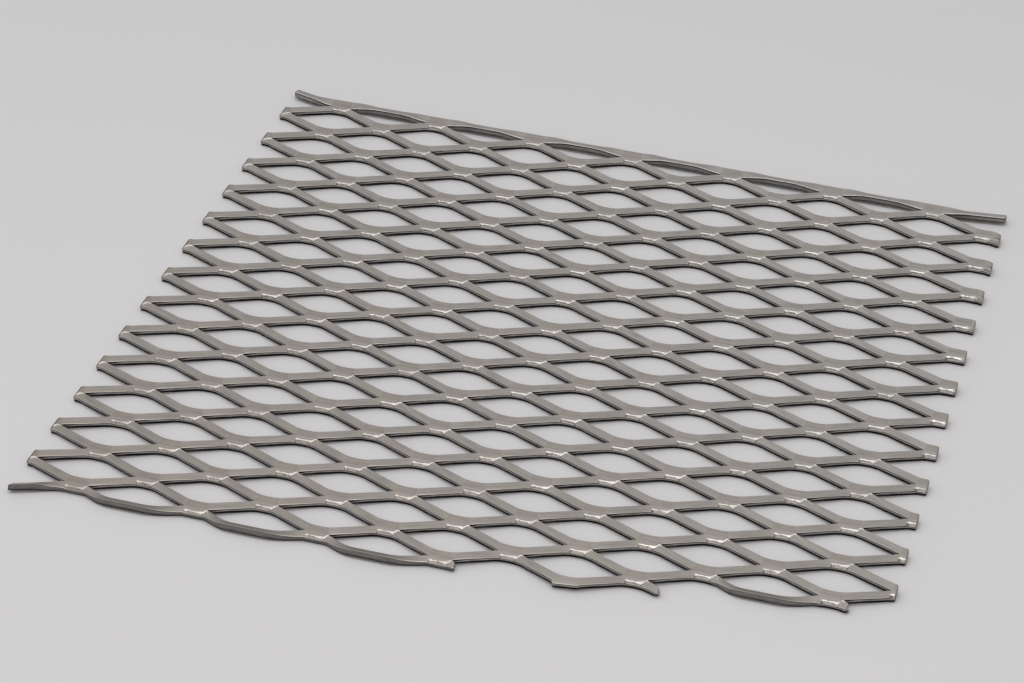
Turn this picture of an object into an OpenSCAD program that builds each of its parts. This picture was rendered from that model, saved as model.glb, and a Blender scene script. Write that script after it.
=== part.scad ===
// Sheet of raised expanded metal: one steel sheet, slit in staggered rows and stretched into diamonds.
// X runs along the long way of the diamonds, Y towards the rear edge and Z up. Millimetres.

/* [Diamonds] */
// Long way of a diamond, from bond to bond, at the rear edge
long_way_rear = 38.9; // [34:0.1:60]
// Long way of a diamond at the front edge, where the sheet was stretched less
long_way_front = 41.1; // [34:0.1:60]
// Short way of a diamond, from bond to bond, at the rear edge
short_way_rear = 20.8; // [17:0.2:32]
// Short way of a diamond at the front edge
short_way_front = 19.2; // [17:0.2:32]
// Whole bonds along the rear edge strand
bond_columns = 7; // [7:1:10]
// Rows of bonds between the rear and front edge strands
bond_rows = 27; // [9:2:31]

/* [Strands] */
// Width of a strand
strand_w = 3; // [2.2:0.1:4]
// Thickness of the sheet before it was slit
sheet_t = 2; // [1:0.1:3]
// Length of a bond between the ends of its two slits
bond_len = 7.6; // [6:0.1:10]
// Slope of bonds and strands towards the front edge, in degrees
strand_tilt = 11; // [4:0.5:22]
// Length cut from the corner inside each bend
bend_relief = 1.8; // [0.4:0.1:2]

/* [Cut sides] */
// Distance of the left cut past the middle of the bonds that it halves, at the rear row of bonds
left_past_rear = 0.8; // [-1:0.1:2.5]
// Distance of the left cut past the middle of the bonds that it halves, at the front row of bonds
left_past_front = -0.4; // [-1:0.1:2.5]
// Distance of the right cut past the middle of the end bonds, at the rear row of bonds
right_past_rear = 7.8; // [4.5:0.1:10]
// Distance of the right cut past the middle of the end bonds, at the front row of bonds
right_past_front = -1.8; // [-2.2:0.1:2.5]
// Angle at which the halves of an end bond stand open past its slit end, in degrees
tip_open = 4; // [2:0.5:12]
// Angle at which the right cut pushed the tips towards the front, in degrees
tip_lean = 12; // [0:1:20]
// Angle at which the right cut pressed the rear edge of the tips down, in degrees
tip_droop = 7; // [0:0.5:7]

/* [Edge strands] */
// Width of the rear edge strand
rear_w = 4; // [2.2:0.1:5]
// How far the rear edge strand bows out between its bonds
rear_bow = 1.6; // [0.5:0.1:3]
// How far the front edge strand bows out between its bonds
front_bow = 2.7; // [0.5:0.1:4]
// Twist of an edge strand between its bonds, in degrees
edge_twist = 28; // [0:1:40]
// Lean outwards of the front strand's tail at the left cut, in degrees
front_tail_lean = 23; // [0:1:26]
// Lean outwards of the rear strand's tail at the left cut, in degrees
rear_tail_lean = 16; // [0:1:26]
// Lean outwards of the rear strand's tail at the right cut, in degrees
right_tail_lean = 8; // [0:1:26]

/* [Stepped front edge] */
// Whole bonds that the front strand still holds before it ends
front_holds = 4; // [1:1:5]
// Whole bonds that the second strand from the front still holds
second_holds = 5; // [5:1:6]
// Whole bonds that the third strand from the front still holds
third_holds = 7; // [6:1:7]
// Stub of the front strand past its last bond
front_stub = 1.5; // [0.5:0.1:4]
// Stub of the second strand past its last bond
second_stub = 5; // [0.5:0.1:6]
// Stub of the third strand past its last bond
third_stub = 2.3; // [0.5:0.1:6]
// How far the third strand sags to the front where the strand before it has ended
slack_bow = 3.2; // [0.5:0.1:4]

/* [Hidden] */

// Lattice: rows of bonds lie half the short way apart, and are staggered by half the long way
rear_step = short_way_rear / 2;
front_step = short_way_front / 2;
step_change = (front_step - rear_step) / (bond_rows - 1);
long_way = (long_way_rear + long_way_front) / 2;
node_step = long_way / 2;
half_bond = bond_len / 2;
slope_gap = node_step - bond_len;
end_node = 2 * bond_columns - 1;
end_x = end_node * node_step;
middle_x = (bond_columns - 1) * node_step;

// Plan width and rise of the tilted strand
plan_w = strand_w * cos(strand_tilt);
rise = strand_w * sin(strand_tilt);

// Edge strands: straight pieces between two bonds, and shares of the way over which bow and twist come and go
edge_spans = 8;
free_len = long_way - bond_len;
bow_in = 0.28;
bow_out = 0.4;
front_turn_in = 0.28;
rear_turn_in = 0.15;
turn_out = 0.38;

// Tails of the edge strands leave their last bond over this length
tail_ease = 4;
tail_turn = 9;

// Length laid out past the slit end of an end bond, before the cut is made
tip_run = right_past_rear;

// A point this close to a cut is dropped in favour of the cut itself
cut_margin = 0.02;

// Cuts: straight lines, x = x at the rear row of bonds + lean * y
sheet_depth = -bond_y(bond_rows - 1);
left_x = -node_step - left_past_rear;
left_lean = (left_past_front - left_past_rear) / sheet_depth;
right_x = end_x + right_past_rear;
right_lean = (right_past_rear - right_past_front) / sheet_depth;

function is_odd(n) = n % 2 != 0;

// Smooth step from 0 to 1
function ramp(v) = let (t = min(max(v, 0), 1)) t * t * (3 - 2 * t);

// Y of the middle line of a row of bonds, where the two strands of each bond join
function bond_y(j) = -j * (rear_step + step_change * j / 2);

// Columns of bonds fan out from the rear edge to the front edge, about the middle column
function fan_x(x, y) =
    let (long_here = long_way_rear - (long_way_front - long_way_rear) * y / sheet_depth)
    middle_x + (x - middle_x) * long_here / long_way;

// Tangent of half the angle in plan between the bonds and the slopes of strand r
function half_tan(r) =
    let (
        slope_y = bond_y(r - 1) - bond_y(r) - plan_w,
        across = 2 * plan_w + slope_y
    )
    (sqrt(slope_gap ^ 2 + slope_y * across) - slope_gap) / across;

// X of the bond nearest to x in a row of bonds
function nearest_bond(j, x) =
    let (shift = is_odd(j) ? node_step : 0)
    long_way * round((x - shift) / long_way) + shift;

// Where a strand ends: short strands stop a stub past the last bond that they hold
function stub_end(j, holds, stub) = long_way * (holds - 1) + (is_odd(j) ? node_step : 0) + half_bond + stub;
function reach(r) =
    r == bond_rows ? stub_end(r - 1, front_holds, front_stub)
    : r == bond_rows - 1 ? stub_end(r - 1, second_holds, second_stub)
    : r == bond_rows - 2 ? stub_end(r - 1, third_holds, third_stub)
    : right_x + long_way;

// Two neighbouring strands are one metal at a bond that both of them reach
function joined(j, x) =
    let (centre = nearest_bond(j, x))
    j >= 0 && j < bond_rows && abs(x - centre) < half_bond && centre < min(reach(j), reach(j + 1));

// A boundary point is [x, y, z of the top edge, tilt of the section there]
function slit_end(j, x) = [x, bond_y(j), rise, strand_tilt];

// Strand r bends at row r of bonds towards the front (outer side front) and at row r - 1 towards the rear
function outer_bend(j, x) = [slit_end(j, x - half_bond), slit_end(j, x + half_bond)];

// Inside of a bend of strand r, with its corners cut: dir is 1 at the rear side of a bond of row r, and -1 at
// the front side of a bond of row r - 1
function inner_bend(r, x, dir) =
    let (
        y = bond_y(dir > 0 ? r : r - 1) + dir * plan_w,
        z = rise + dir * rise,
        bend = 2 * atan(half_tan(r)),
        mitre = plan_w * half_tan(r),
        slope_x = slope_gap + mitre,
        inner_half = half_bond - mitre,
        run = bend_relief * cos(bend),
        far = [inner_half + run, y + dir * bend_relief * sin(bend), z - dir * rise * run / slope_x],
        near = inner_half - bend_relief
    )
    [
        [x - far[0], far[1], far[2], strand_tilt],
        [x - near, y, z, strand_tilt],
        [x + near, y, z, strand_tilt],
        [x + far[0], far[1], far[2], strand_tilt]
    ];

// End bond at the right cut: past its slit end the two halves lie almost closed and lean to the front
function tip_point(x, y, z, opening) = [
    x + half_bond + tip_run, y - tip_run * (tan(tip_lean) - opening * tan(tip_open / 2)), z, strand_tilt
];
function outer_tip(j, x, dir) = concat(outer_bend(j, x), [tip_point(x, bond_y(j), rise, dir)]);
function inner_tip(r, x, dir) =
    let (
        corner = inner_bend(r, x, dir),
        y = corner[1].y,
        z = corner[1].z,
        end_z = max(z - (dir > 0 ? tip_run * tan(tip_droop) : 0), 0)
    )
    [corner[0], corner[1], [x + half_bond, y, z, strand_tilt], tip_point(x, y, end_z, dir)];

// Section of an edge strand along row j of bonds: dir is 1 for a rear edge and -1 for a front edge, and side is
// 1 for the rear boundary and -1 for the front one. It is lifted so that no corner dips under the bonds.
function edge_point(j, dir, width, x, out, twist, side) =
    let (
        turn = strand_tilt - twist,
        y = bond_y(j) + dir * (width / 2 * cos(strand_tilt) + out),
        z = rise + dir * width / 2 * sin(strand_tilt),
        lowest = -sheet_t * cos(strand_tilt),
        dip = width / 2 * abs(sin(turn)) + sheet_t * cos(turn),
        lifted = max(z, lowest + dip)
    )
    [x, y + side * width / 2 * cos(turn), lifted + side * width / 2 * sin(turn), turn];

// Free span of an edge strand, from the slit end at x to the next bond: it bows outwards and twists
function free_span(j, dir, width, bow, turn_in, x, side) = [
    for (n = [1 : edge_spans - 1])
        let (
            part = n / edge_spans,
            swell = sin(90 * min(part / bow_in, 1)) * sin(90 * min((1 - part) / bow_out, 1)),
            twist = edge_twist * ramp(part / turn_in) * ramp((1 - part) / turn_out)
        )
        edge_point(j, dir, width, x + free_len * part, bow * swell, twist, side)
];

// Tail of an edge strand past its last bond, to the right (way 1) or to the left (way -1), in order of x
function tail(j, dir, width, lean, x, way, side) = [
    for (n = [1 : edge_spans])
        let (
            run = free_len / edge_spans * (way > 0 ? n : edge_spans + 1 - n),
            out = tan(lean) * run ^ 2 / (run + tail_ease)
        )
        edge_point(j, dir, width, x + way * run, out, edge_twist * ramp(run / tail_turn), side)
];

// Edge strand along row j of bonds, from its left tail to its right tail
function edge_boundary(j, dir, width, bow, turn_in, left_tail, right_tail, side) =
    let (
        last_x = (bond_columns - 1) * long_way,
        outer_y = bond_y(j) + dir * width * cos(strand_tilt),
        outer_z = rise + dir * width * sin(strand_tilt)
    )
    concat(
        tail(j, dir, width, left_tail, -half_bond, -1, side),
        [
            for (i = [0 : bond_columns - 1]) each concat(
                [
                    for (x = [i * long_way - half_bond, i * long_way + half_bond])
                        side == dir ? [x, outer_y, outer_z, strand_tilt] : slit_end(j, x)
                ],
                i * long_way < last_x ? free_span(j, dir, width, bow, turn_in, i * long_way + half_bond, side) : []
            )
        ],
        tail(j, dir, width, right_tail, last_x + half_bond, 1, side)
    );

// The third strand from the front hangs slack where the strand before it has ended
function is_slack(r, i) = r == bond_rows - 2 && i < end_node && i * node_step > reach(r + 1);
function slack(r, i, side) =
    free_span(r - 1, -1, strand_w, slack_bow, front_turn_in, (i - 1) * node_step + half_bond, side);

// Boundaries of a zigzag strand, from the bond at the left cut to the end bond at the right cut
function is_front_bend(r, i) = is_odd(r) == is_odd(i);
function rear_bend(r, i) =
    let (x = i * node_step)
    !is_front_bend(r, i) ? (i == end_node ? outer_tip(r - 1, x, -1) : outer_bend(r - 1, x))
    : is_slack(r, i) ? slack(r, i, 1)
    : i == end_node ? inner_tip(r, x, 1)
    : inner_bend(r, x, 1);
function front_bend(r, i) =
    let (x = i * node_step)
    !is_front_bend(r, i) ? (i == end_node ? inner_tip(r, x, -1) : inner_bend(r, x, -1))
    : is_slack(r, i) ? slack(r, i, -1)
    : i == end_node ? outer_tip(r, x, 1)
    : outer_bend(r, x);

// Rear and front boundary of each strand
function boundary(r, side) =
    r == 0 ? edge_boundary(0, 1, rear_w, rear_bow, rear_turn_in, rear_tail_lean, right_tail_lean, side)
    : r == bond_rows
    ? edge_boundary(r - 1, -1, strand_w, front_bow, front_turn_in, front_tail_lean, right_tail_lean, side)
    : [for (i = [-1 : end_node]) each side > 0 ? rear_bend(r, i) : front_bend(r, i)];

// Cutting a boundary at the line x = x0 + lean * y; keep is 1 to keep what lies left of it, else -1
function past_cut(p, x0, lean) = p.x - x0 - lean * p.y;
function cut_point(p, q, x0, lean) =
    let (a = past_cut(p, x0, lean), b = past_cut(q, x0, lean))
    p + (q - p) * a / (a - b);
function cut_boundary(pts, x0, lean, keep) =
    let (inside = [for (p = pts) keep * past_cut(p, x0, lean) < -cut_margin])
    [
        for (i = [0 : len(pts) - 1]) each [
            if (i > 0 && inside[i] && !inside[i - 1]) cut_point(pts[i - 1], pts[i], x0, lean),
            if (inside[i]) pts[i],
            if (i < len(pts) - 1 && inside[i] && !inside[i + 1]) cut_point(pts[i], pts[i + 1], x0, lean)
        ]
    ];
function trim_strand(r, pts) =
    let (stub = reach(r) < right_x + right_lean * bond_y(r))
    cut_boundary(
        cut_boundary(pts, left_x, left_lean, -1),
        stub ? reach(r) : right_x, stub ? 0 : right_lean, 1
    );
strands = [
    for (r = [0 : bond_rows]) [for (side = [1, -1]) trim_strand(r, boundary(r, side))]
];

// Points of a strand: rear top, rear bottom, front top, front bottom
function top_point(p) = [fan_x(p.x, p.y), p.y, p.z];
function low_point(p) = [fan_x(p.x, p.y), p.y + sheet_t * sin(p[3]), p.z - sheet_t * cos(p[3])];
function strand_points(s) = [
    for (side = s)
        each concat([for (p = side) top_point(p)], [for (p = side) low_point(p)])
];
function strand_size(s) = 2 * (len(s[0]) + len(s[1]));
starts = [
    for (r = 0, start = 0; r <= bond_rows; start = start + strand_size(strands[r]), r = r + 1) start
];

// Faces of a strand: its top and bottom are zipped between the two boundaries in order of x
function zip_step(rear, front, at) =
    at[1] == len(front) - 1 || (at[0] < len(rear) - 1 && rear[at[0] + 1].x <= front[at[1] + 1].x)
    ? [at[0] + 1, at[1]]
    : [at[0], at[1] + 1];
function zip_faces(rear, front, start) =
    let (rear_n = len(rear), front_start = start + 2 * rear_n, front_n = len(front))
    [
        for (at = [0, 0]; at[0] + at[1] < rear_n + front_n - 2; at = zip_step(rear, front, at))
            let (
                next = zip_step(rear, front, at),
                a = start + at[0],
                b = front_start + at[1],
                c = next[0] > at[0] ? a + 1 : b + 1,
                c_low = c + (next[0] > at[0] ? rear_n : front_n)
            )
            each [
                next[0] > at[0] ? [a, c, b] : [b, a, c],
                next[0] > at[0] ? [b + front_n, c_low, a + rear_n] : [c_low, a + rear_n, b + front_n]
            ]
    ];
function side_faces(pts, start, j, is_rear) = [
    for (i = [0 : len(pts) - 2])
        let (a = start + i, n = len(pts))
        if (!joined(j, (pts[i].x + pts[i + 1].x) / 2))
            is_rear ? [a + 1, a, a + n, a + n + 1] : [a, a + 1, a + n + 1, a + n]
];
function end_faces(rear_n, front_n, start) =
    let (front_start = start + 2 * rear_n)
    [
        [start, front_start, front_start + front_n, start + rear_n],
        [front_start + front_n - 1, start + rear_n - 1, start + 2 * rear_n - 1, front_start + 2 * front_n - 1]
    ];
function strand_faces(r) =
    let (rear = strands[r][0], front = strands[r][1], start = starts[r])
    concat(
        zip_faces(rear, front, start),
        side_faces(rear, start, r - 1, true),
        side_faces(front, start + 2 * len(rear), r, false),
        end_faces(len(rear), len(front), start)
    );

points = [for (s = strands) each strand_points(s)];
faces = [for (r = [0 : bond_rows]) each strand_faces(r)];

// The origin lies under the middle of the sheet, at the level that it rests on
function middle(axis) = (min([for (p = points) p[axis]]) + max([for (p = points) p[axis]])) / 2;
origin = [middle(0), middle(1), min([for (p = points) p.z])];

module expanded_sheet() {
    color([0.58, 0.57, 0.55]) translate(-origin) polyhedron(points = points, faces = faces);
}

expanded_sheet();
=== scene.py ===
import math

import bmesh
import bpy
import numpy as np
from mathutils import Matrix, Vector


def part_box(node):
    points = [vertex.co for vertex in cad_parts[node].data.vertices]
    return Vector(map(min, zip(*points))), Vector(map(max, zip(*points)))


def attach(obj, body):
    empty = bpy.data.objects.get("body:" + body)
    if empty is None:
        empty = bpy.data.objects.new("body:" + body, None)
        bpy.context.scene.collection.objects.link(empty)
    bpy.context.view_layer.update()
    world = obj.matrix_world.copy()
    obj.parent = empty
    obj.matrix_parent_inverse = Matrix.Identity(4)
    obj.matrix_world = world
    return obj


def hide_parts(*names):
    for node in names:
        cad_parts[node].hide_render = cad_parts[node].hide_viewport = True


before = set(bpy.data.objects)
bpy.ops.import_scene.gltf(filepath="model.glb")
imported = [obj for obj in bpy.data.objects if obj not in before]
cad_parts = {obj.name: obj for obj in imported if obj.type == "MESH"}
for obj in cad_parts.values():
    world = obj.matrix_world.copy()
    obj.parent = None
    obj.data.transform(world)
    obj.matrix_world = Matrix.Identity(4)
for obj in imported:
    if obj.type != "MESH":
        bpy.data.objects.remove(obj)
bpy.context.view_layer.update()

# Lattice in millimetres, in the solid's own layout: X from bond column 0, Y from the rear row of bonds
MM = 0.001
LONG_REAR = 38.9
LONG_FRONT = 41.1
REAR_STEP = 10.4
FRONT_STEP = 9.6
BOND_COLUMNS = 7
BOND_ROWS = 27
STRAND_W = 3.0
REAR_W = 4.0
SHEET_T = 2.0
BOND_LEN = 7.6
END_HALF = 2.5
TILT = math.radians(11.0)

# Cut sides: distance past the middle of the bonds, slant of the left tips, lean and droop of the right tips
LEFT_PAST = (0.8, -0.4)
LEFT_SLANT = 0.12
RIGHT_PAST = (7.8, -1.8)
TIP_LEAN = math.tan(math.radians(12.0))
TIP_OPEN = math.tan(math.radians(3.5))
TIP_DROOP = 0.045
TIP_FACET = 0.04
TIP_RUNS = (0.5, 1.1, 1.7, 2.3, 2.9, 3.5, 4.1, 4.8)

# Strands that end short at the front: bonds held, stub past the last one, and length of the rounded end
STUBS = {27: (4, 1.5, 1.4), 26: (5, 5.0, 3.6), 25: (7, 2.3, 1.6)}
STUB_AT = (1.0, 0.75, 0.52, 0.32, 0.16, 0.05)
STUB_END = 0.4

# Edge strands: bow and twist between bonds, and the shares of a span over which they come and go
REAR_BOW = 1.2
FRONT_BOW = 2.7
SLACK_BOW = 3.2
SPAN_TWIST = {1: math.radians(26.0), -1: math.radians(31.0)}
TAIL_TWIST = {1: math.radians(25.0), -1: math.radians(37.0)}
FRONT_EDGE_STRAND, REAR_EDGE_STRAND = 1, 2
BOW_IN, BOW_OUT = 0.28, 0.4
FRONT_TURN_IN, REAR_TURN_IN, TURN_OUT = 0.28, 0.34, 0.38
TAIL_EASE, TAIL_TURN = 4.0, 9.0
REAR_TAILS = (math.tan(math.radians(16.0)), math.tan(math.radians(8.0)))
FRONT_TAILS = (math.tan(math.radians(23.0)), math.tan(math.radians(8.0)))
TAIL_STEP, TAIL_STATIONS, EDGE_PARTS = 1.2, 24, 30
TAIL_RUNS = tuple(TAIL_STEP * n for n in range(1, TAIL_STATIONS + 1))
EDGE_AT = tuple(n / EDGE_PARTS for n in range(1, EDGE_PARTS))

# Metal torn from the next strand that stays on the second strand, past the end of the front strand
TORN_STRAND, TORN_NODE = 26, 8
TORN_REACH = (1.1, 0.2)

# Rim at each cut end, over which the section gets smaller
RIM = 0.4
RIM_SHRINK = 0.86

# Bends, and stations along a strand as shares of half a bond and of a slope
BEND_RADIUS = 10.0
END_RADIUS = 6.0
BOND_AT = (-1.0, -0.84, -0.72, -0.5, -0.15, 0.25, 0.55, 0.74, 0.86, 1.0)
SLOPE_AT = (0.05, 0.11, 0.19, 0.3, 0.46, 0.62, 0.77, 0.88, 0.95)

# Mark of the slitting tooth on the front half of a bond: a crease along it, and a facet down to the edge
CREASE_AT = 0.54
CREASE_HALF = 0.08
CREASE_PLACES = BOND_AT[1:]
CREASE_HALVES = (0.1, 0.11, 0.05, 0.04, 0.06, 0.15, 0.19, 0.14, 0.08)
CREASE_DEPTHS = (0.0, 1.0, 0.62, 0.55, 0.7, 1.05, 1.15, 0.95, 0.8)
CREASE_WANDER, CREASE_VARY, END_DEEPER = 0.07, 0.3, 1.25
LEFT_CREASE = (0.52, 0.2, 0.12)
CREASE_FALLS = (0.175, 0.108)
FACET_FALL = 0.165
MARK_STARTS = (-0.84, -0.72)
FACET_ENDS = (0.6, 0.8)
CREASE_TURNS = (0.74, 1.0)
SINK_ENDS = 0.4
LEFT_MARK = -0.25
SCATTER_FACTORS = (12.9898, 78.233, 37.719)
SCATTER_SPREAD = 43758.5453

# Worn front edge, rear edge and sheared sides
BEVEL_WIDE = 0.34
BEVEL_FALL = 0.08
BEVEL_FIRST, BEVEL_LAST, BEVEL_STEEP, BEVEL_BEND, BEVEL_EDGE = 1.0, 0.15, 0.25, 0.4, 0.8
BRINK = {1: 2.4, -1: 1.2}
REAR_ROUND = 0.09
LAND_DEPTH = 0.95
UNDERCUT = 0.12
SLIT_RAMP = 0.9
# Run from a slit end over which the painted shadow in the narrow gap fades out
SHADE_RUN = 7.0

# Derived sizes
LONG_WAY = (LONG_REAR + LONG_FRONT) / 2
NODE_STEP = LONG_WAY / 2
HALF_BOND = BOND_LEN / 2
STEP_CHANGE = (FRONT_STEP - REAR_STEP) / (BOND_ROWS - 1)
PLAN_W = STRAND_W * math.cos(TILT)
RISE = STRAND_W * math.sin(TILT)
FREE_LEN = LONG_WAY - BOND_LEN
END_NODE = 2 * BOND_COLUMNS - 1
SLACK_STRAND = BOND_ROWS - 2
MIDDLE_X = (BOND_COLUMNS - 1) * NODE_STEP
LOWEST = -SHEET_T * math.cos(TILT)


def bond_y(j):
    """Y of the slit line of a row of bonds."""
    return -j * (REAR_STEP + STEP_CHANGE * j / 2)


DEPTH = -bond_y(BOND_ROWS - 1)
LEFT_X = -NODE_STEP - LEFT_PAST[0]
LEFT_LEAN = (LEFT_PAST[1] - LEFT_PAST[0]) / DEPTH
RIGHT_X = END_NODE * NODE_STEP + RIGHT_PAST[0]
RIGHT_LEAN = (RIGHT_PAST[0] - RIGHT_PAST[1]) / DEPTH


def fanned(points):
    """Spreads the columns from the rear edge to the front edge, about the middle column."""
    long_here = LONG_REAR - (LONG_FRONT - LONG_REAR) * points[..., 1] / DEPTH
    spread = points.copy()
    spread[..., 0] = MIDDLE_X + (points[..., 0] - MIDDLE_X) * long_here / LONG_WAY
    return spread


def reach(r):
    """X at which strand r ends; only the last three strands end before the right cut."""
    if r not in STUBS:
        return RIGHT_X + LONG_WAY
    holds, stub, _ = STUBS[r]
    stagger = NODE_STEP if (r - 1) % 2 else 0.0
    return LONG_WAY * (holds - 1) + stagger + HALF_BOND + stub


def has_bond(j, node):
    """Whether the strands on both sides of a bond reach it."""
    return 0 <= j < BOND_ROWS and node * NODE_STEP < min(reach(j), reach(j + 1))


def is_front_bend(r, node):
    return (r - node) % 2 == 0


def is_slack(r, node):
    """Where the third strand from the front hangs free, because the strand before it has ended."""
    is_past_end = reach(r + 1) < node * NODE_STEP < END_NODE * NODE_STEP
    return r == SLACK_STRAND and is_front_bend(r, node) and is_past_end


def half_bond(node, way):
    """Half length of a bond to the right (way above 0) or left of its middle; shorter inside the two cuts."""
    is_inner = (node == -1 and way > 0) or (node == END_NODE and way < 0)
    return END_HALF if is_inner else HALF_BOND


def slope_gap(node):
    """Clear length along X between the slit ends of the bonds at a node and at the next node."""
    return NODE_STEP - half_bond(node, 1) - half_bond(node + 1, -1)


def bend_radius(node):
    return END_RADIUS if node in (-1, END_NODE) else BEND_RADIUS


def bend_angle(r, gap):
    """Angle in plan between the bonds and a slope of strand r that spans a gap."""
    rise_y = bond_y(r - 1) - bond_y(r) - PLAN_W
    across = 2 * PLAN_W + rise_y
    return 2 * math.atan((math.sqrt(gap ** 2 + rise_y * across) - gap) / across)


def ease(share):
    t = min(max(share, 0.0), 1.0)
    return t * t * (3 - 2 * t)


def between(value, start, end, low=0.0, high=1.0):
    """Share of the way from start to end, held within it and laid out from low to high."""
    return float(np.interp(value, (start, end), (low, high)))


# A station is one section of a strand: front and rear edge of its top, and what shapes it there
PLAIN = {
    "tilt": TILT, "bevel": BEVEL_STEEP, "brink": 1.0, "free_front": 1.0, "free_rear": 1.0,
    "crease": CREASE_AT, "broad": CREASE_HALF, "fall": 0.0, "facet": 0.0, "sink": 0.0,
    "shade": 0.0, "shrink": 1.0, "edge": 0, "rim": 0, "join_front": None, "join_rear": None,
}


def station(front, rear, **shape):
    return {**PLAIN, "front": np.array(front, float), "rear": np.array(rear, float), **shape}


def inner_offset(r, node, share):
    """Point on the inside of a bend, from the bond's middle, at a share of the way to the bend's middle."""
    radius = bend_radius(node)
    bend = bend_angle(r, slope_gap(node if share > 0 else node - 1))
    flat = half_bond(node, share) - (PLAN_W + radius) * math.tan(bend / 2)
    travel = abs(share) * (flat + radius * bend / 2)
    turn = max(travel - flat, 0.0) / radius
    x = min(travel, flat) + radius * math.sin(turn)
    return math.copysign(x, share), radius * (1 - math.cos(turn))


def slope_offset(r, share, gap, radius):
    """Point on the edge from a slit end into the next bend, from that end, and the way along the edge."""
    bend = bend_angle(r, gap)
    rise_y = bond_y(r - 1) - bond_y(r) - PLAN_W
    straight = rise_y / math.sin(bend) - radius * math.tan(bend / 2)
    travel = share * (straight + radius * bend / 2)
    turn = max(travel - straight, 0.0) / radius
    run = min(travel, straight)
    x = run * math.cos(bend) + radius * (math.sin(bend) - math.sin(bend - turn))
    y = run * math.sin(bend) + radius * (math.cos(bend - turn) - math.cos(bend))
    return x, y, travel


def scatter(*keys):
    """A number from 0 to 1 that looks random but is the same for the same keys."""
    mix = sum(key * factor for key, factor in zip(keys, SCATTER_FACTORS))
    return math.sin(mix) * SCATTER_SPREAD % 1.0


def crease_fall(r):
    """Fall of the crease on strand r, which is deeper towards the rear edge."""
    return between(r, 0, BOND_ROWS, *CREASE_FALLS)


def tooth_mark(r, node, share):
    """Place and fall of the crease and fall of the facet at a share of half a bond."""
    if node == -1:
        at, wide, narrow = LEFT_CREASE
        climb = ease(between(share, LEFT_MARK, 1.0))
        broad = wide + (narrow - wide) * climb
        return {"crease": at * (1 - climb), "broad": broad, "fall": crease_fall(r) * CREASE_DEPTHS[-1]}
    place = max(share, MARK_STARTS[1]) if node == END_NODE else share
    starts = between(place, *MARK_STARTS)
    ends = between(share, *FACET_ENDS, 1.0, 0.0)
    vary = 1 + CREASE_VARY * (2 * scatter(r, node, share) - 1)
    wander = CREASE_WANDER * (scatter(node, share, r) - 0.5)
    fall = crease_fall(r) * float(np.interp(place, CREASE_PLACES, CREASE_DEPTHS))
    mark = {
        "crease": between(share, *CREASE_TURNS, CREASE_AT + wander, 0.0),
        "broad": vary * float(np.interp(place, CREASE_PLACES, CREASE_HALVES)),
        "fall": fall,
        "facet": FACET_FALL * starts * ends,
    }
    if node == END_NODE:
        mark["crease"] = CREASE_AT + wander
        mark["fall"] = END_DEEPER * fall * between(share, FACET_ENDS[0], 1.0, 1.0, 0.0)
    return mark


def bond_station(r, node, share):
    """One station of a bond of a zigzag strand; past an end bond's middle its inner edge runs on straight."""
    is_front = is_front_bend(r, node)
    j, side = (r, 1) if is_front else (r - 1, -1)
    x = node * NODE_STEP
    is_end = node == END_NODE
    along = share * half_bond(node, share)
    dx, dy = (along, 0.0) if is_end and share > 0 else inner_offset(r, node, share)
    outer = (x + along, bond_y(j), RISE)
    inner = (x + dx, bond_y(j) + side * (PLAN_W + dy), RISE + side * RISE)
    joined = (j, node) if has_bond(j, node) else None
    free = 0.0 if joined else 1.0
    if is_front:
        if (r, node) == (TORN_STRAND, TORN_NODE):
            torn = between(share, -1.0, 1.0, *TORN_REACH)
            outer = (outer[0], outer[1] - torn, outer[2] - torn * math.tan(TILT))
        return station(outer, inner, bevel=BEVEL_FIRST, free_front=free, join_front=joined)
    mark = tooth_mark(r, node, share) if joined else {}
    return station(inner, outer, bevel=BEVEL_BEND, free_rear=free, join_rear=joined, **mark)


def tip_station(r, run):
    """One station of a tip past its bond's slit end: the halves part a little and lean to the front."""
    is_front = is_front_bend(r, END_NODE)
    j, side = (r, 1) if is_front else (r - 1, -1)
    x = END_NODE * NODE_STEP + HALF_BOND + run
    y = bond_y(j) - run * (TIP_LEAN - side * TIP_OPEN)
    droop = TIP_DROOP * run ** 2 if is_front else 0.0
    outer = (x, y, RISE)
    inner = (x, y + side * PLAN_W, RISE + side * RISE - droop)
    free = min(run / SLIT_RAMP, 1.0)
    if is_front:
        tilt = math.asin((RISE - droop) / STRAND_W)
        return station(outer, inner, tilt=tilt, free_front=free)
    return station(inner, outer, bevel=BEVEL_BEND, free_rear=free, facet=TIP_FACET)


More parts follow.
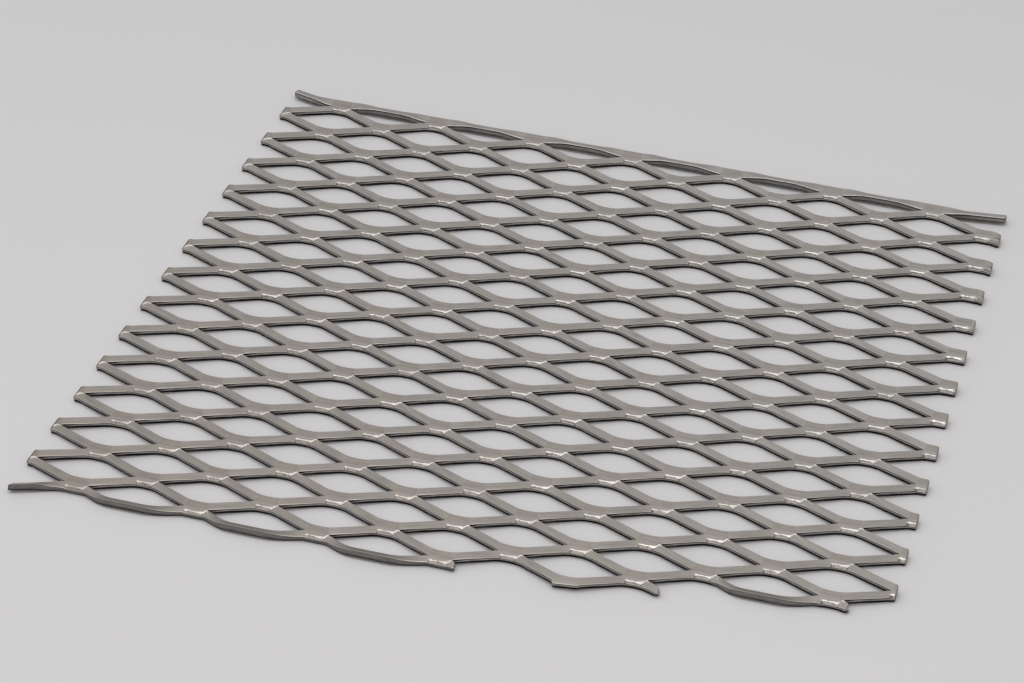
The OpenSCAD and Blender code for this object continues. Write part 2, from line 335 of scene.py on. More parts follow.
def slope_station(r, node, share):
    """One station between the bond at a node and the bond at the next node."""
    starts_at_front = is_front_bend(r, node)
    gap = slope_gap(node)
    left_x = node * NODE_STEP + half_bond(node, 1)
    right_x = left_x + gap
    front_node, rear_node = (node, node + 1) if starts_at_front else (node + 1, node)
    front_share = share if starts_at_front else 1 - share
    x, y, front_run = slope_offset(r, front_share, gap, bend_radius(rear_node))
    front_x = left_x + x if starts_at_front else right_x - x
    front = (front_x, bond_y(r) + y, RISE * (1 - ease(front_share)))
    x, y, rear_run = slope_offset(r, 1 - front_share, gap, bend_radius(front_node))
    rear_x = right_x - x if starts_at_front else left_x + x
    rear = (rear_x, bond_y(r - 1) - y, RISE * (2 - ease(front_share)))
    shape = {
        "free_front": min(front_run / SLIT_RAMP, 1.0) if has_bond(r, front_node) else 1.0,
        "free_rear": min(rear_run / SLIT_RAMP, 1.0) if has_bond(r - 1, rear_node) else 1.0,
    }
    if starts_at_front:
        shape["bevel"] = between(share, 0.0, 1.0, BEVEL_FIRST, BEVEL_LAST)
        # Painted shadow in the narrow gap by the slit end, fading along the slope
        shape["shade"] = max(1 - front_run / SHADE_RUN, 0.0) if has_bond(r, front_node) else 0.0
    elif has_bond(r - 1, rear_node):
        shape["sink"] = crease_fall(r) * CREASE_DEPTHS[-1] * max(1 - share / SINK_ENDS, 0.0)
        shape["crease"] = between(share, 0.0, SINK_ENDS, 0.0, CREASE_AT)
    return station(front, rear, **shape)


def edge_station(j, side, width, x, out, twist, free=1.0):
    """One station of an edge strand along row j of bonds, lifted so that no corner dips under the bonds."""
    turn = TILT - twist
    dip = width / 2 * abs(math.sin(turn)) + SHEET_T * math.cos(turn)
    y = bond_y(j) + side * (width / 2 * math.cos(TILT) + out)
    z = max(RISE + side * width / 2 * math.sin(TILT), LOWEST + dip)
    half = np.array((0.0, math.cos(turn), math.sin(turn))) * width / 2
    middle = np.array((x, y, z))
    edge = FRONT_EDGE_STRAND if side < 0 else REAR_EDGE_STRAND
    brink = 1 + BRINK[side] * twist / SPAN_TWIST[side]
    shape = {"bevel": BEVEL_EDGE, "brink": brink, "free_front": free, "free_rear": free, "edge": edge}
    return station(middle - half, middle + half, tilt=turn, **shape)


def swell(share):
    """Rises from 0 to 1 as a quarter of a sine wave, and stays there."""
    return math.sin(math.pi / 2 * min(share, 1.0))


def free_span(j, side, width, bow, turn_in, x):
    """Stations of an edge strand from the slit end at x to the next bond: it bows outwards and twists."""
    stations = []
    for part in EDGE_AT:
        out = bow * (swell(part / BOW_IN) * swell((1 - part) / BOW_OUT))
        twist = SPAN_TWIST[side] * ease(part / turn_in) * ease((1 - part) / TURN_OUT)
        free = min(min(part, 1 - part) * FREE_LEN / SLIT_RAMP, 1.0)
        stations.append(edge_station(j, side, width, x + FREE_LEN * part, out, twist, free))
    return stations


def tail(j, side, width, lean, x, way):
    """Stations of an edge strand past its last bond, to the right (way 1) or left (way -1), in x order."""
    stations = []
    for run in TAIL_RUNS[::way]:
        out = lean * run ** 2 / (run + TAIL_EASE)
        twist = TAIL_TWIST[side] * ease(run / TAIL_TURN)
        free = min(run / SLIT_RAMP, 1.0)
        stations.append(edge_station(j, side, width, x + way * run, out, twist, free))
    return stations


def edge_bond(j, side, width, node):
    """Stations of an edge strand across one of its bonds."""
    stations = []
    joined = (j, node) if has_bond(j, node) else None
    free = 0.0 if joined else 1.0
    for share in BOND_AT:
        x = node * NODE_STEP + share * HALF_BOND
        slit = (x, bond_y(j), RISE)
        outer = (x, bond_y(j) + side * width * math.cos(TILT), RISE + side * width * math.sin(TILT))
        if side > 0:
            shape = {"free_front": free, "join_front": joined, "edge": REAR_EDGE_STRAND}
            stations.append(station(slit, outer, **shape))
        else:
            mark = tooth_mark(j + 1, node, share) if joined else {}
            shape = {"bevel": BEVEL_EDGE, "free_rear": free, "join_rear": joined, "edge": FRONT_EDGE_STRAND}
            stations.append(station(outer, slit, **shape, **mark))
    return stations


def edge_strand(j, side, width, bow, turn_in, tails):
    """The strand along the rear edge (side 1) or front edge (side -1), from its left tail to its right."""
    stations = tail(j, side, width, tails[0], -HALF_BOND, -1)
    last = 2 * (BOND_COLUMNS - 1)
    for node in range(0, last + 1, 2):
        stations += edge_bond(j, side, width, node)
        if node < last:
            stations += free_span(j, side, width, bow, turn_in, node * NODE_STEP + HALF_BOND)
    return stations + tail(j, side, width, tails[1], last * NODE_STEP + HALF_BOND, 1)


def zigzag_strand(r):
    """A strand between two rows of bonds, from the bond at the left cut to the end bond at the right cut."""
    stations = []
    for node in range(-1, END_NODE + 1):
        if is_slack(r, node):
            start = (node - 1) * NODE_STEP + HALF_BOND
            stations += free_span(r - 1, -1, STRAND_W, SLACK_BOW, FRONT_TURN_IN, start)
            continue
        stations += [bond_station(r, node, share) for share in BOND_AT]
        if node == END_NODE:
            stations += [tip_station(r, run) for run in TIP_RUNS]
        elif not is_slack(r, node + 1):
            stations += [slope_station(r, node, share) for share in SLOPE_AT]
    return stations


def round_stub(stations, r):
    """Adds stations close to a short strand's own end, and makes the section smaller towards it."""
    end = reach(r)
    length = STUBS[r][2]
    for share in STUB_AT:
        at = [(s["front"][0] + s["rear"][0]) / 2 for s in stations]
        k = int(np.searchsorted(at, end - share * length))
        low, high = stations[k - 1], stations[k]
        part = (end - share * length - at[k - 1]) / (at[k] - at[k - 1])
        middle = {key: low[key] + (high[key] - low[key]) * part for key in low if not key.startswith("join")}
        stations.insert(k, {**PLAIN, **middle})
    for s in stations:
        left = (end - (s["front"][0] + s["rear"][0]) / 2) / length
        if left < 1.0:
            s["shrink"] = STUB_END + (1 - STUB_END) * math.sqrt(1 - (1 - max(left, 0.0)) ** 2)


def clamp_edge(points, x0, lean, keep):
    """Moves the points of one edge past the line x = x0 + lean * y onto its crossing with that line."""
    past = keep * (points[:, 0] - x0 - lean * points[:, 1])
    if (past <= 0).all():
        return points, past > 0
    order = np.flatnonzero(past <= 0)
    last = order[-1] if keep > 0 else order[0]
    step = 1 if keep > 0 else -1
    share = past[last] / (past[last] - past[last + step])
    crossing = points[last] + (points[last + step] - points[last]) * share
    clamped = points.copy()
    clamped[past > 0] = crossing
    return clamped, past > 0


def cut_lines(r):
    """Left cut and right cut of strand r, each as x0, lean and the side that falls away."""
    left_x, left_lean = LEFT_X, LEFT_LEAN
    if 0 < r < BOND_ROWS:
        y = bond_y(r if r % 2 else r - 1)
        left_x, left_lean = LEFT_X + LEFT_LEAN * y - LEFT_SLANT * y, LEFT_SLANT
    if r in STUBS:
        return (left_x, left_lean, -1), (reach(r), 0.0, 1)
    return (left_x, left_lean, -1), (RIGHT_X, RIGHT_LEAN, 1)


def cut_end(stations, x0, lean, side):
    """Cuts a strand at a line, with a short rim before the cut over which the section gets smaller."""
    edges = [np.array([s[name] for s in stations]) for name in ("front", "rear")]
    inner = [clamp_edge(edge, x0 - side * RIM, lean, side) for edge in edges]
    outermost = -1 if side > 0 else 0
    gone = np.flatnonzero(inner[0][1] & inner[1][1])
    last = gone[0] if side > 0 else gone[-1]
    clamped = zip(stations, inner[0][0], inner[1][0])
    moved = [{**s, "front": front, "rear": rear} for s, front, rear in clamped]
    front, rear = (clamp_edge(edge, x0, lean, side)[0][outermost] for edge in edges)
    shrink = stations[last]["shrink"] * RIM_SHRINK
    end = {**stations[last], "front": front, "rear": rear, "shrink": shrink, "rim": side}
    return moved[:last + 1] + [end] if side > 0 else [end] + moved[last:]


def trimmed(stations, r):
    """Cuts a strand at both sides, and gathers each value of its stations."""
    for line in cut_lines(r):
        stations = cut_end(stations, *line)
    strand = {key: [s[key] for s in stations] for key in (*PLAIN, "front", "rear")}
    is_list = {key: key.startswith("join") for key in strand}
    strand = {key: v if is_list[key] else np.array(v).reshape(len(stations), -1) for key, v in strand.items()}
    held = [0.0 if s["join_front"] else 1.0 if s["join_rear"] else 0.5 for s in stations]
    return {**strand, "held": np.array(held)[:, None]}


# Columns round a section, in order: top from rear to front, front side, bottom, rear side
COLUMNS = 11
FRONT_SIDE = (5, 6)
REAR_SIDE = (8, 9)
WORN_COLUMNS = (4, 10)
CREASE_COLUMN, FACET_COLUMN = 2, 3
TOP_COLUMNS = (0, 1, 2, 3)
ROLLED, SHEARED, BURNISH_AND_HIGHLIGHT, FACET, WORN, CUT, SHADED_BOND, FRONT_EDGE, REAR_EDGE = range(9)
SIDE_KINDS = (SHEARED, FRONT_EDGE, REAR_EDGE)

# A cut end is a fan from the end of the rear land up to the top, and one face below the lands
FRONT_LAND, REAR_LAND = FRONT_SIDE[1], REAR_SIDE[1]
CAP_FACES = (
    (REAR_LAND, COLUMNS - 1, 0),
    *((REAR_LAND, c, c + 1) for c in range(FRONT_LAND)),
    tuple(range(FRONT_LAND, REAR_LAND + 1)),
)

# Distance in millimetres across the top or bottom, or down a side, at the start and end of each column
TOP_AT = (0.0, 0.7, 1.35, 1.55, 2.6, STRAND_W)
EDGE_DEPTH = 0.1
ACROSS = (
    *zip(TOP_AT, TOP_AT[1:]),
    (EDGE_DEPTH, LAND_DEPTH), (LAND_DEPTH, SHEET_T), (STRAND_W, 0.0),
    (SHEET_T, LAND_DEPTH), (LAND_DEPTH, EDGE_DEPTH), (EDGE_DEPTH, 0.0),
)
# How far the painted gap shadow pushes the front side's land down, in millimetres
SHADE_SHIFT = 0.62


def section_points(strand):
    """Points of every section, as an array of stations by columns by three."""
    front, rear, tilt = strand["front"], strand["rear"], strand["tilt"]
    down = np.concatenate([np.zeros_like(tilt), np.sin(tilt), -np.cos(tilt)], 1)
    across = front - rear
    ahead = across / np.linalg.norm(across, axis=1)[:, None]
    bevel = strand["bevel"] * strand["free_front"]
    under = UNDERCUT * strand["free_front"]
    rounding = REAR_ROUND * strand["free_rear"]
    crease, sink, fall, facet = (strand[key] for key in ("crease", "sink", "fall", "facet"))
    before = np.maximum(crease - strand["broad"], 0.0)
    after = crease + strand["broad"]
    start = 1 - bevel * BEVEL_WIDE / STRAND_W
    start_fall = sink + fall + facet * (start - after) / (1 - after)
    edge_fall = sink + fall + facet + bevel * BEVEL_FALL * strand["brink"]
    columns = [
        rear + ahead * rounding + down * sink,
        rear + across * before / 2 + down * sink,
        rear + across * before + down * sink,
        rear + across * after + down * (sink + fall),
        rear + across * start + down * start_fall,
        front + down * edge_fall,
        front + down * LAND_DEPTH,
        front + down * SHEET_T - ahead * under,
        rear + down * SHEET_T,
        rear + down * LAND_DEPTH,
        rear + down * (sink + rounding),
    ]
    grid = np.stack(columns, 1)
    centre = (front + (rear - front) * strand["held"] + down * SHEET_T / 2)[:, None, :]
    return centre + (grid - centre) * strand["shrink"][:, None, :]


def face_kind(column, edge, rim, is_shaded_bond, has_crease, has_facet):
    """Finish of a column's faces between two stations; rim is below 0 at a left cut, above 0 at a right."""
    if rim < 0:
        return CUT
    if column in FRONT_SIDE:
        return SIDE_KINDS[edge]
    if column in REAR_SIDE:
        return SHEARED
    if rim > 0:
        return WORN
    # On the rear edge strand the worn edges take the bright crease steel: a painted highlight
    if column in WORN_COLUMNS:
        return BURNISH_AND_HIGHLIGHT if edge == REAR_EDGE_STRAND else WORN
    if column == CREASE_COLUMN and has_crease:
        return BURNISH_AND_HIGHLIGHT
    if column == FACET_COLUMN and has_facet:
        return FACET
    # Bond tops take a darker, warmer copy of the rolled steel, as painted shade
    return SHADED_BOND if is_shaded_bond and column in TOP_COLUMNS else ROLLED


def side_depths(column, shade):
    """Depths at the two edges of a column; by a slit end the front side's burnished land starts lower, under
    painted shadow in the gap.
    """
    near, far = ACROSS[column]
    shift = SHADE_SHIFT * shade
    if column == FRONT_SIDE[0]:
        return near, far - shift
    if column == FRONT_SIDE[1]:
        return near - shift, far
    return near, far


def is_same_bond(joins, k):
    return joins[k] is not None and joins[k] == joins[k + 1]


def either(flags, k):
    return bool(flags[k] or flags[k + 1])


def strand_faces(strand, start, offset, faces, kinds, coords):
    """Quads between neighbouring stations, and the two cut ends, of a strand whose points begin at start."""
    middle = (strand["front"] + strand["rear"]) / 2
    travel = offset + np.r_[0.0, np.cumsum(np.linalg.norm(np.diff(middle, axis=0), axis=1))]
    shade = strand["shade"][:, 0]
    has_crease = strand["fall"][:, 0] > 0
    has_facet = strand["facet"][:, 0] > 0
    edge = strand["edge"][:, 0].round().astype(int)
    rim = strand["rim"][:, 0]
    count = len(middle)
    for k in range(count - 1):
        same_front = is_same_bond(strand["join_front"], k)
        same_rear = is_same_bond(strand["join_rear"], k)
        here, there = travel[k], travel[k + 1]
        for c in range(COLUMNS):
            if (same_front and c in FRONT_SIDE) or (same_rear and c in REAR_SIDE):
                continue
            d = (c + 1) % COLUMNS
            a = start + k * COLUMNS
            b = a + COLUMNS
            faces.append((a + c, a + d, b + d, b + c))
            marks = (either(flags, k) for flags in (has_crease, has_facet))
            kinds.append(face_kind(c, max(edge[k], edge[k + 1]), rim[k] + rim[k + 1], same_front, *marks))
            near_a, far_a = side_depths(c, shade[k])
            near_b, far_b = side_depths(c, shade[k + 1])
            coords.append(((here, near_a), (here, far_a), (there, far_b), (there, near_b)))
    last = start + (count - 1) * COLUMNS
    for first, way in ((start, -1), (last, 1)):
        for ring in CAP_FACES:
            faces.append(tuple(first + c for c in ring[::way]))
            kinds.append(CUT)
            coords.append(tuple((offset + ACROSS[c][0], c % 2) for c in ring[::way]))


WELD_GRID = 5000
UV_NAME, UV_STEP = "along", 511.7
SHARP = math.radians(38.0)
SHARP_BETWEEN = math.radians(4.0)


def weld(points, faces, kinds, coords):
    """Joins points that lie together and drops what has no area."""
    keys = np.round(points * WELD_GRID).astype(np.int64)
    _, first, where = np.unique(keys, axis=0, return_index=True, return_inverse=True)
    where = where.reshape(-1)
    out = ([], [], [])
    for face, kind, coord in zip(faces, kinds, coords):
        ids = [int(where[v]) for v in face]
        keep = [k for k in range(len(ids)) if ids[k] != ids[k - 1]]
        if len(set(ids[k] for k in keep)) < 3:
            continue
        out[0].append([ids[k] for k in keep])
        out[1].append(kind)
        out[2].append([coord[k] for k in keep])
    return points[first], *out


def build_strand(r):
    if r == 0:
        return edge_strand(0, 1, REAR_W, REAR_BOW, REAR_TURN_IN, REAR_TAILS)
    if r == BOND_ROWS:
        return edge_strand(BOND_ROWS - 1, -1, STRAND_W, FRONT_BOW, FRONT_TURN_IN, FRONT_TAILS)
    return zigzag_strand(r)


def mark_sharp(mesh):
    """Keeps edges hard where the surface turns sharply, or where one finish meets another at an angle."""
    work = bmesh.new()
    work.from_mesh(mesh)
    for edge in work.edges:
        angle = edge.calc_face_angle(0.0)
        kinds = {face.material_index for face in edge.link_faces}
        edge.smooth = angle < (SHARP_BETWEEN if len(kinds) > 1 else SHARP)
    work.to_mesh(mesh)
    work.free()


def build_sheet():
    """The whole sheet as one welded mesh, and the place of its origin in the lattice's own layout."""
    points, faces, kinds, coords = [], [], [], []
    start = 0
    for r in range(BOND_ROWS + 1):
        stations = build_strand(r)
        if r in STUBS:
            round_stub(stations, r)
        strand = trimmed(stations, r)
        grid = fanned(section_points(strand))
        strand_faces(strand, start, r * UV_STEP, faces, kinds, coords)
        points.append(grid.reshape(-1, 3))
        start += grid.shape[0] * COLUMNS
    points, faces, kinds, coords = weld(np.concatenate(points), faces, kinds, coords)
    used = np.unique(np.concatenate([np.array(f) for f in faces]))
    renumber = np.zeros(len(points), int)
    renumber[used] = np.arange(len(used))
    points = points[used]
    low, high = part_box("expanded_sheet")
    origin = (points.min(0) + points.max(0)) / 2 - np.array((low + high) / 2) / MM
    origin[2] = LOWEST
    mesh = bpy.data.meshes.new("expanded_sheet_steel")
    mesh.from_pydata((points - origin) * MM, [], [[int(renumber[v]) for v in f] for f in faces])
    mesh.polygons.foreach_set("material_index", np.array(kinds, np.int32))
    layer = mesh.uv_layers.new(name=UV_NAME)
    layer.data.foreach_set("uv", np.array([uv for coord in coords for uv in coord], np.float32).ravel())
    mesh.polygons.foreach_set("use_smooth", np.ones(len(faces), bool))
    mark_sharp(mesh)
    return mesh, origin


# Materials: short helpers that add one node and give back its output
def along_strand(tree, stretch):
    """Millimetres along a strand and across it, drawn out along the strand by a factor."""
    uv = tree.nodes.new("ShaderNodeUVMap")
    uv.uv_map = UV_NAME
    scale = tree.nodes.new("ShaderNodeVectorMath")
    scale.operation = "MULTIPLY"
    scale.inputs[1].default_value = (1 / stretch, 1.0, 1.0)
    tree.links.new(uv.outputs["UV"], scale.inputs[0])
    return scale.outputs["Vector"]


def in_place(tree):
    """Place on the object, in metres."""
    return tree.nodes.new("ShaderNodeTexCoord").outputs["Object"]


NOISE_DETAIL, RICH_DETAIL = 2.0, 3.0


def noise(tree, vector, scale, detail=NOISE_DETAIL):
    node = tree.nodes.new("ShaderNodeTexNoise")
    node.inputs["Scale"].default_value = scale
    node.inputs["Detail"].default_value = detail
    tree.links.new(vector, node.inputs["Vector"])
    return node.outputs["Fac"]


def laid_out(tree, value, start, end, low, high):
    """Maps a value from one range to another."""
    node = tree.nodes.new("ShaderNodeMapRange")
    for name, number in (("From Min", start), ("From Max", end), ("To Min", low), ("To Max", high)):
        node.inputs[name].default_value = number
    tree.links.new(value, node.inputs["Value"])
    return node.outputs["Result"]


def mixed(tree, share, first, second, blend="MIX"):
    """Mixes two colours, each given as a colour or as another node's output."""
    node = tree.nodes.new("ShaderNodeMix")
    node.data_type = "RGBA"
    node.blend_type = blend
    if isinstance(share, float):
        node.inputs["Factor"].default_value = share
    else:
        tree.links.new(share, node.inputs["Factor"])
    for name, colour in (("A", first), ("B", second)):
        socket = [s for s in node.inputs if s.name == name and s.type == "RGBA"][0]
        if isinstance(colour, tuple):
            socket.default_value = (*colour, 1.0)
        else:
            tree.links.new(colour, socket)
    return [s for s in node.outputs if s.type == "RGBA"][0]


def bumped(tree, height, strength, distance):
    node = tree.nodes.new("ShaderNodeBump")
    node.inputs["Strength"].default_value = strength
    node.inputs["Distance"].default_value = distance
    tree.links.new(height, node.inputs["Height"])
    return node.outputs["Normal"]


def new_metal(name):
    material = bpy.data.materials.new(name)
    material.use_nodes = True
    shader = material.node_tree.nodes["Principled BSDF"]
    shader.inputs["Metallic"].default_value = 1.0
    return material, material.node_tree, shader


STREAK_STRETCH, STREAK_SCALE = 16.0, 1.6
FINE_STRETCH, FINE_SCALE = 30.0, 7.0
BLOTCH_SCALE, TINT_SCALE, SPOT_SCALE = 70.0, 160.0, 1300.0
SPOT = (0.07, 0.066, 0.062)
BUMP_DISTANCE = 0.00003
# Noise values between which each effect comes in, and the most that it adds
STREAK_SPAN = (0.3, 0.7)
BLOTCH_SPAN, BLOTCH_MOST = (0.35, 0.65), 0.35
FINE_SPAN, FINE_MOST = (0.5, 0.75), 0.4
TINT_SPAN, TINT_MOST = (0.45, 0.7), 0.6
SPOT_SPAN = (0.56, 0.68)
# Painted light and shade over the sheet: change for each metre along the axes, from -1 to 1, and the factors
# at the two ends
PAINTED_LIGHT_SLOPE = (2.9, 4.3, 0.0)
PAINTED_SHADE_FRONT = (0.87, 0.842, 0.812)
PAINTED_LIGHT_REAR = (1.115, 1.125, 1.135)


def painted_light_tone(tree):
    """Painted light and shade on the steel's colour: browner and darker at the front left, paler at the rear
    right.
    """
    slope = tree.nodes.new("ShaderNodeVectorMath")
    slope.operation = "DOT_PRODUCT"
    slope.inputs[1].default_value = PAINTED_LIGHT_SLOPE
    tree.links.new(in_place(tree), slope.inputs[0])
    return mixed(tree, laid_out(tree, slope.outputs["Value"], -1.0, 1.0, 0.0, 1.0), PAINTED_SHADE_FRONT, PAINTED_LIGHT_REAR)


def steel(name, dark, light, warm, rough, bump, spots=0.0):
    """Bare steel: streaks along the strand, blotches, a tint, spots, and gloss that follows the streaks."""
    material, tree, shader = new_metal(name)
    streak = noise(tree, along_strand(tree, STREAK_STRETCH), STREAK_SCALE, RICH_DETAIL)
    fine = noise(tree, along_strand(tree, FINE_STRETCH), FINE_SCALE)
    blotch = noise(tree, in_place(tree), BLOTCH_SCALE, RICH_DETAIL)
    tint = noise(tree, in_place(tree), TINT_SCALE)
    colour = mixed(tree, laid_out(tree, streak, *STREAK_SPAN, 0.0, 1.0), dark, light)
    colour = mixed(tree, laid_out(tree, blotch, *BLOTCH_SPAN, 0.0, BLOTCH_MOST), colour, dark)
    colour = mixed(tree, laid_out(tree, fine, *FINE_SPAN, 0.0, FINE_MOST), colour, light)
    colour = mixed(tree, laid_out(tree, tint, *TINT_SPAN, 0.0, TINT_MOST), colour, warm)
    if spots:
        speck = noise(tree, in_place(tree), SPOT_SCALE)
        colour = mixed(tree, laid_out(tree, speck, *SPOT_SPAN, 0.0, spots), colour, SPOT)
    # Painted light and shade over the whole sheet: darker and browner at the front left, paler at the rear
    # right
    colour = mixed(tree, 1.0, colour, painted_light_tone(tree), "MULTIPLY")
    tree.links.new(colour, shader.inputs["Base Color"])
    dull_to_glossy = laid_out(tree, streak, *STREAK_SPAN, rough[1], rough[0])
    tree.links.new(dull_to_glossy, shader.inputs["Roughness"])
    tree.links.new(bumped(tree, fine, bump, BUMP_DISTANCE), shader.inputs["Normal"])
    return material


# Grey of a sheared side at shares of the sheet's thickness: turned edge, groove, burnished land, fracture
# The near-black fracture at the bottom is painted shadow under the strand, where it stands on the floor
SLIT_BANDS = (
    (0.0, 0.3), (0.03, 0.2), (0.08, 0.06), (0.19, 0.07),
    (0.26, 0.6), (0.43, 0.56), (0.49, 0.02), (1.0, 0.008),
)
# The front edge strand's outer side is grey nearly all the way down; the black at the very bottom is painted
# contact shadow
OUTER_BANDS = (
    (0.0, 0.36), (0.06, 0.15), (0.15, 0.2), (0.32, 0.32),
    (0.6, 0.24), (0.8, 0.2), (0.88, 0.03), (1.0, 0.012),
)
# The rear edge strand's side: a wide near-black band under the turned edge, painted reflection of a dark room
# in front
DARK_REFLECTION_BANDS = (
    (0.0, 0.3), (0.05, 0.14), (0.1, 0.025), (0.24, 0.03),
    (0.34, 0.44), (0.8, 0.41), (0.92, 0.1), (1.0, 0.03),
)
BAND_TINT = (1.0, 0.95, 0.905)
BAND_WANDER = 0.035
SCORE_SPAN, SCORE_MOST = (0.4, 0.65), 0.45
SCORE_COLOUR = (0.02, 0.019, 0.018)
SIDE_ROUGH = (0.42, 0.6)
SIDE_BUMP = 0.35


def sheared_side(name, bands):
    """A side left by the slitting tool, with bands by depth and fine score lines along it."""
    material, tree, shader = new_metal(name)
    uv = tree.nodes.new("ShaderNodeUVMap")
    uv.uv_map = UV_NAME
    apart = tree.nodes.new("ShaderNodeSeparateXYZ")
    tree.links.new(uv.outputs["UV"], apart.inputs["Vector"])
    wander = noise(tree, along_strand(tree, STREAK_STRETCH), STREAK_SCALE)
    shift = tree.nodes.new("ShaderNodeMath")
    shift.operation = "ADD"
    tree.links.new(laid_out(tree, apart.outputs["Y"], 0.0, SHEET_T, 0.0, 1.0), shift.inputs[0])
    tree.links.new(laid_out(tree, wander, *STREAK_SPAN, -BAND_WANDER, BAND_WANDER), shift.inputs[1])
    ramp = tree.nodes.new("ShaderNodeValToRGB")
    while len(ramp.color_ramp.elements) < len(bands):
        ramp.color_ramp.elements.new(1.0)
    for element, (place, grey) in zip(ramp.color_ramp.elements, bands):
        element.position = place
        element.color = (*(grey * tint for tint in BAND_TINT), 1.0)
    tree.links.new(shift.outputs["Value"], ramp.inputs["Fac"])
    score = noise(tree, along_strand(tree, FINE_STRETCH), FINE_SCALE)
    shade = laid_out(tree, score, *SCORE_SPAN, 0.0, SCORE_MOST)
    colour = mixed(tree, shade, ramp.outputs["Color"], SCORE_COLOUR)
    tree.links.new(colour, shader.inputs["Base Color"])
    tree.links.new(laid_out(tree, wander, *STREAK_SPAN, *SIDE_ROUGH), shader.inputs["Roughness"])
    tree.links.new(bumped(tree, score, SIDE_BUMP, BUMP_DISTANCE), shader.inputs["Normal"])
    return material


def rolled_face():
    """Tops and bottoms as they were rolled."""
    dark, light, warm = (0.288, 0.27, 0.256), (0.425, 0.401, 0.381), (0.38, 0.346, 0.319)
    return steel("rolled_face", dark, light, warm, rough=(0.34, 0.44), bump=0.2)


def shaded_bond_face():
    """Tops of the bonds behind the slit line, a little darker and warmer than the rolled steel: painted
    shade.
    """
    dark, light, warm = (0.272, 0.25, 0.231), (0.363, 0.335, 0.311), (0.347, 0.309, 0.28)
    return steel("shaded_bond_face", dark, light, warm, rough=(0.36, 0.46), bump=0.2)


def crease_burnish_and_highlight():
    """Burnished line of the tooth along a bond, partly painted highlight; painted highlight on the rear edge
    strand's edges.
    """
    dark, light, warm = (0.45, 0.43, 0.41), (0.62, 0.6, 0.575), (0.575, 0.535, 0.505)
    return steel("crease_burnish_and_highlight", dark, light, warm, rough=(0.31, 0.41), bump=0.1, spots=0.5)


def tooth_facet():
    """Darker, pitted face in front of the crease."""
    dark, light, warm = (0.18, 0.17, 0.16), (0.29, 0.274, 0.258), (0.26, 0.237, 0.217)
    return steel("tooth_facet", dark, light, warm, rough=(0.3, 0.4), bump=0.2, spots=0.8)


def worn_edge():
    """Rubbed edges of the strands and rims of the right cut."""
    dark, light, warm = (0.28, 0.264, 0.248), (0.4, 0.378, 0.356), (0.37, 0.34, 0.314)
    return steel("worn_edge", dark, light, warm, rough=(0.32, 0.42), bump=0.15)


def cut_face():
    """Dark, rough ends where the sheet was cut to size."""
    dark, light, warm = (0.05, 0.047, 0.044), (0.15, 0.142, 0.135), (0.11, 0.1, 0.09)
    return steel("cut_end", dark, light, warm, rough=(0.45, 0.6), bump=0.4, spots=0.5)


def slit_side():
    return sheared_side("sheared_side", SLIT_BANDS)


def outer_side():
    return sheared_side("outer_side", OUTER_BANDS)


# Side of the rear edge strand, with a painted dark reflection below its turned edge
def dark_reflection_side():
    return sheared_side("dark_reflection_side", DARK_REFLECTION_BANDS)


def add_materials(mesh):
    """One material for each kind of face, in the order of the kinds."""
    makers = (
        rolled_face, slit_side, crease_burnish_and_highlight, tooth_facet, worn_edge, cut_face, shaded_bond_face,
        outer_side, dark_reflection_side,
    )
    for make in makers:
        mesh.materials.append(make())


def add_sheet():
    mesh, origin = build_sheet()
    add_materials(mesh)
    sheet = bpy.data.objects.new("expanded_sheet_steel", mesh)
    bpy.context.scene.collection.objects.link(sheet)
    flat = sheet.modifiers.new("flat_tops", "WEIGHTED_NORMAL")
    flat.keep_sharp = True
    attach(sheet, "root")
    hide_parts("expanded_sheet")
    return origin


# Camera, from a fit of the lattice to the photograph
IMAGE_W = 1024
FOCAL_PX = 3209.989
ELEVATION = math.radians(34.2106)
AZIMUTH = math.radians(-13.6789)
ROLL = math.radians(-2.9099)
AIM_X, AIM_Y = -13.183, -0.559
DISTANCE = 1123.03
AIM_ROW = 13
SENSOR_MM = 36.0
FAR_CLIP = 50.0
SPOT_X, SPOT_Y = 2.6, 1.4


def make_camera(origin):
    """Looks at a spot by the middle bond, from the side and height of the photograph."""
    spot = np.array((MIDDLE_X + SPOT_X, bond_y(AIM_ROW) - SPOT_Y, RISE - SPOT_Y * math.tan(TILT))) - origin
    aim = spot + np.array((AIM_X, AIM_Y, 0.0))
    forward = np.array((
        math.sin(AZIMUTH) * math.cos(ELEVATION),
        math.cos(AZIMUTH) * math.cos(ELEVATION),
        -math.sin(ELEVATION),
    ))
    right = np.array((math.cos(AZIMUTH), -math.sin(AZIMUTH), 0.0))
    down = np.cross(forward, right)
    image_x = math.cos(ROLL) * right + math.sin(ROLL) * down
    image_y = -math.sin(ROLL) * right + math.cos(ROLL) * down
    place = (aim - forward * DISTANCE) * MM
    data = bpy.data.cameras.new("camera")
    data.sensor_fit = "HORIZONTAL"
    data.sensor_width = SENSOR_MM
    data.lens = FOCAL_PX * SENSOR_MM / IMAGE_W
    data.clip_end = FAR_CLIP
    camera = bpy.data.objects.new("camera", data)
    axes = zip(image_x, -image_y, -forward, place)
    camera.matrix_world = Matrix((*axes, (0.0, 0.0, 0.0, 1.0)))
    bpy.context.scene.collection.objects.link(camera)
    bpy.context.scene.camera = camera


FLOOR_HALF = 3.0
# Painted light on the floor: paler towards the front, darker towards the rear
FLOOR_FADE = 0.35
FLOOR_SHADED_REAR = (0.667, 0.655, 0.662)
FLOOR_LIT_FRONT = (0.757, 0.741, 0.747)
FLOOR_ROUGH, FLOOR_SPECULAR = 0.8, 0.1


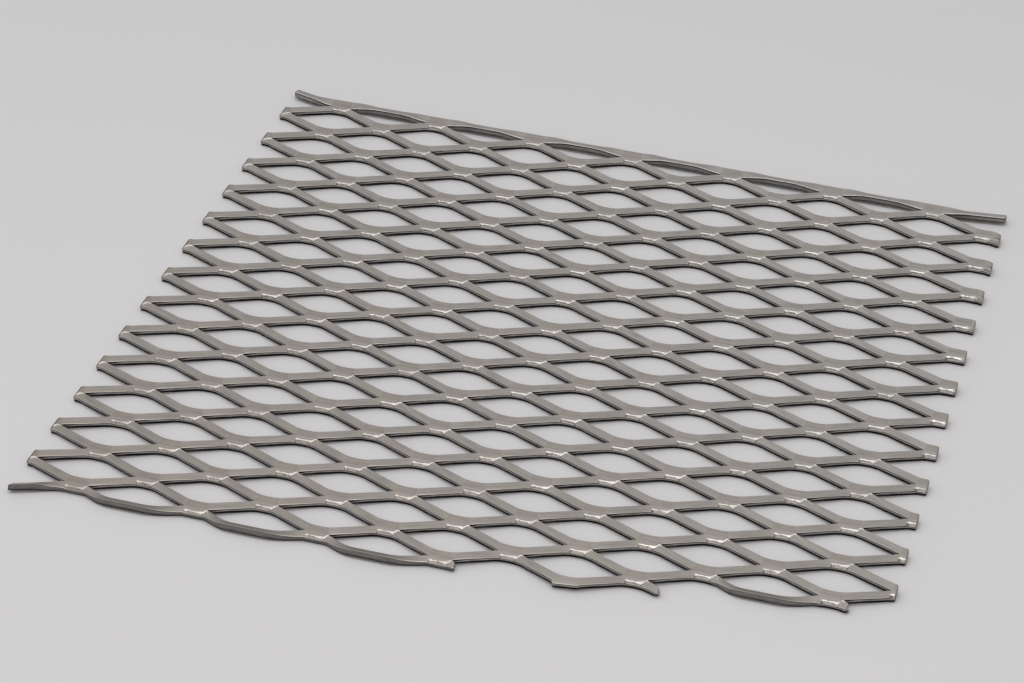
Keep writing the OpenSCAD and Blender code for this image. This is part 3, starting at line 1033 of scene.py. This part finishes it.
def make_floor():
    data = bpy.data.meshes.new("floor")
    corners = [(x * FLOOR_HALF, y * FLOOR_HALF, 0.0) for x, y in ((-1, -1), (1, -1), (1, 1), (-1, 1))]
    data.from_pydata(corners, [], [(0, 1, 2, 3)])
    floor = bpy.data.objects.new("floor", data)
    material = bpy.data.materials.new("floor")
    material.use_nodes = True
    tree = material.node_tree
    shader = tree.nodes["Principled BSDF"]
    apart = tree.nodes.new("ShaderNodeSeparateXYZ")
    tree.links.new(in_place(tree), apart.inputs["Vector"])
    # Painted light: the floor's colour gets paler towards the front
    nearness = laid_out(tree, apart.outputs["Y"], FLOOR_FADE, -FLOOR_FADE, 0.0, 1.0)
    tree.links.new(mixed(tree, nearness, FLOOR_SHADED_REAR, FLOOR_LIT_FRONT), shader.inputs["Base Color"])
    shader.inputs["Roughness"].default_value = FLOOR_ROUGH
    shader.inputs["Specular IOR Level"].default_value = FLOOR_SPECULAR
    data.materials.append(material)
    bpy.context.scene.collection.objects.link(floor)


SKY_LOW, SKY_HIGH, SKY_SIDE = 0.47, 0.82, 0.28
LAMP_PLACE = (-0.05, 0.0, 1.3)
LAMP_SIZE = (0.9, 0.5)
LAMP_WATTS = 3.1


def make_light():
    """A grey room that is paler overhead and to the left, and one large soft lamp above the sheet."""
    world = bpy.data.worlds.new("studio")
    world.use_nodes = True
    tree = world.node_tree
    apart = tree.nodes.new("ShaderNodeSeparateXYZ")
    tree.links.new(tree.nodes.new("ShaderNodeTexCoord").outputs["Generated"], apart.inputs["Vector"])
    grey = tree.nodes.new("ShaderNodeMath")
    grey.operation = "ADD"
    tree.links.new(laid_out(tree, apart.outputs["Z"], 0.0, 1.0, SKY_LOW, SKY_HIGH), grey.inputs[0])
    tree.links.new(laid_out(tree, apart.outputs["X"], -1.0, 1.0, SKY_SIDE, -SKY_SIDE), grey.inputs[1])
    tree.links.new(grey.outputs["Value"], tree.nodes["Background"].inputs["Color"])
    bpy.context.scene.world = world
    data = bpy.data.lights.new("overhead", "AREA")
    data.shape = "RECTANGLE"
    data.size, data.size_y = LAMP_SIZE
    data.energy = LAMP_WATTS
    lamp = bpy.data.objects.new("overhead", data)
    lamp.location = LAMP_PLACE
    bpy.context.scene.collection.objects.link(lamp)


make_camera(add_sheet())
make_floor()
make_light()
bpy.context.scene.view_settings.view_transform = "Standard"
